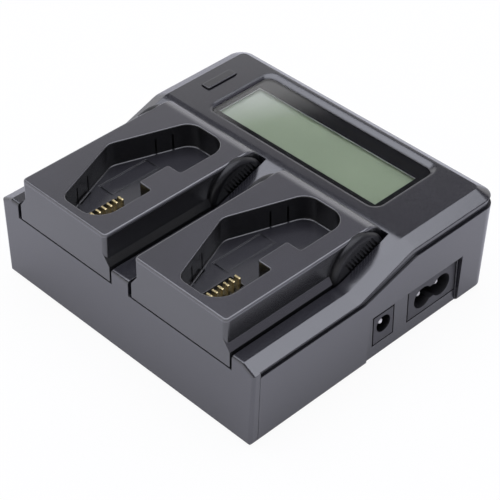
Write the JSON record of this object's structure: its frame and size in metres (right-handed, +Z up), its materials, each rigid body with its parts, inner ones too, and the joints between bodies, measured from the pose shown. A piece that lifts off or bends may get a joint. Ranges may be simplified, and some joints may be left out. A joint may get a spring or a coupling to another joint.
{
  "type": "camera battery charger",
  "caption": "Desktop charger for camera batteries: black moulded case, lift-out plates with battery wells and gold contacts, a wide display, and mains and DC sockets in one side.",
  "frame": {"origin": "centre of the footprint, on the surface the rubber feet stand on", "axes": "+Z up, +Y to the rear with the display, +X to the side with the sockets"},
  "size_m": [0.1202, 0.1113, 0.045],
  "materials": {
    "case_black": "fine spark-textured moulded ABS, satin",
    "plate_black": "moulded ABS, textured outside and smooth in the well",
    "grip_black": "smooth moulded ABS, grooved rim",
    "button_black": "moulded ABS, satin",
    "socket_black": "moulded nylon, satin",
    "switch_black": "moulded nylon",
    "foot_rubber": "matt rubber",
    "screw_steel": "zinc plated",
    "pin_nickel": "nickel plated brass",
    "contact_gold": "gold plated",
    "board_green": "solder mask on glass epoxy board",
    "core_ferrite": "sintered ferrite",
    "coil_tape": "winding under polyester tape",
    "can_sleeve": "aluminium can in a shrunk sleeve",
    "window_clear": "clear acrylic, polished",
    "bezel_black": "black print behind the window",
    "lcd_glass": "green-grey reflective display glass",
    "backlight_white": "white light guide"
  },
  "bodies": {
    "base": {"upper_cover": "case_black", "lower_case": "case_black", "front_left_foot": "foot_rubber", "front_right_foot": "foot_rubber", "rear_left_foot": "foot_rubber", "rear_right_foot": "foot_rubber", "case_screws": "screw_steel", "board_screws": "screw_steel", "display_screws": "screw_steel", "main_board": "board_green", "display_board": "board_green", "transformer_core": "core_ferrite", "transformer_coil": "coil_tape", "bulk_capacitor": "can_sleeve", "output_capacitor": "can_sleeve", "mains_inlet": "socket_black", "dc_jack": "socket_black", "mains_pins": "pin_nickel", "dc_jack_pin": "pin_nickel", "display_window": "window_clear", "display_bezel": "bezel_black", "display_panel": "lcd_glass", "display_backlight": "backlight_white", "key_switch": "switch_black", "left_dock_block": "socket_black", "left_dock_pins": "contact_gold", "right_dock_block": "socket_black", "right_dock_pins": "contact_gold"},
    "left_plate": {"left_plate_shell": "plate_black", "left_plate_cover": "plate_black", "left_plate_screws": "screw_steel", "left_plate_pads": "contact_gold", "left_contact_block": "socket_black", "left_plate_grip_left": "grip_black", "left_plate_grip_right": "grip_black", "left_contact_1": "contact_gold", "left_contact_2": "contact_gold", "left_contact_3": "contact_gold", "left_contact_4": "contact_gold", "left_contact_5": "contact_gold", "left_contact_6": "contact_gold"},
    "right_plate": {"right_plate_shell": "plate_black", "right_plate_cover": "plate_black", "right_plate_screws": "screw_steel", "right_plate_pads": "contact_gold", "right_contact_block": "socket_black", "right_plate_grip_left": "grip_black", "right_plate_grip_right": "grip_black", "right_contact_1": "contact_gold", "right_contact_2": "contact_gold", "right_contact_3": "contact_gold", "right_contact_4": "contact_gold", "right_contact_5": "contact_gold", "right_contact_6": "contact_gold"},
    "button": {"mode_button": "button_black"}
  },
  "joints": [
    {"name": "left_plate_slide", "type": "slide", "parent": "base", "child": "left_plate", "axis": [0, -1, 0], "range_m": [0, 0.07]},
    {"name": "right_plate_slide", "type": "slide", "parent": "base", "child": "right_plate", "axis": [0, -1, 0], "range_m": [0, 0.07]},
    {"name": "button_press", "type": "slide", "parent": "base", "child": "button", "axis": [0, 0, -1], "range_m": [0, 0.0005], "stiffness_N_per_m": 800}
  ]
}
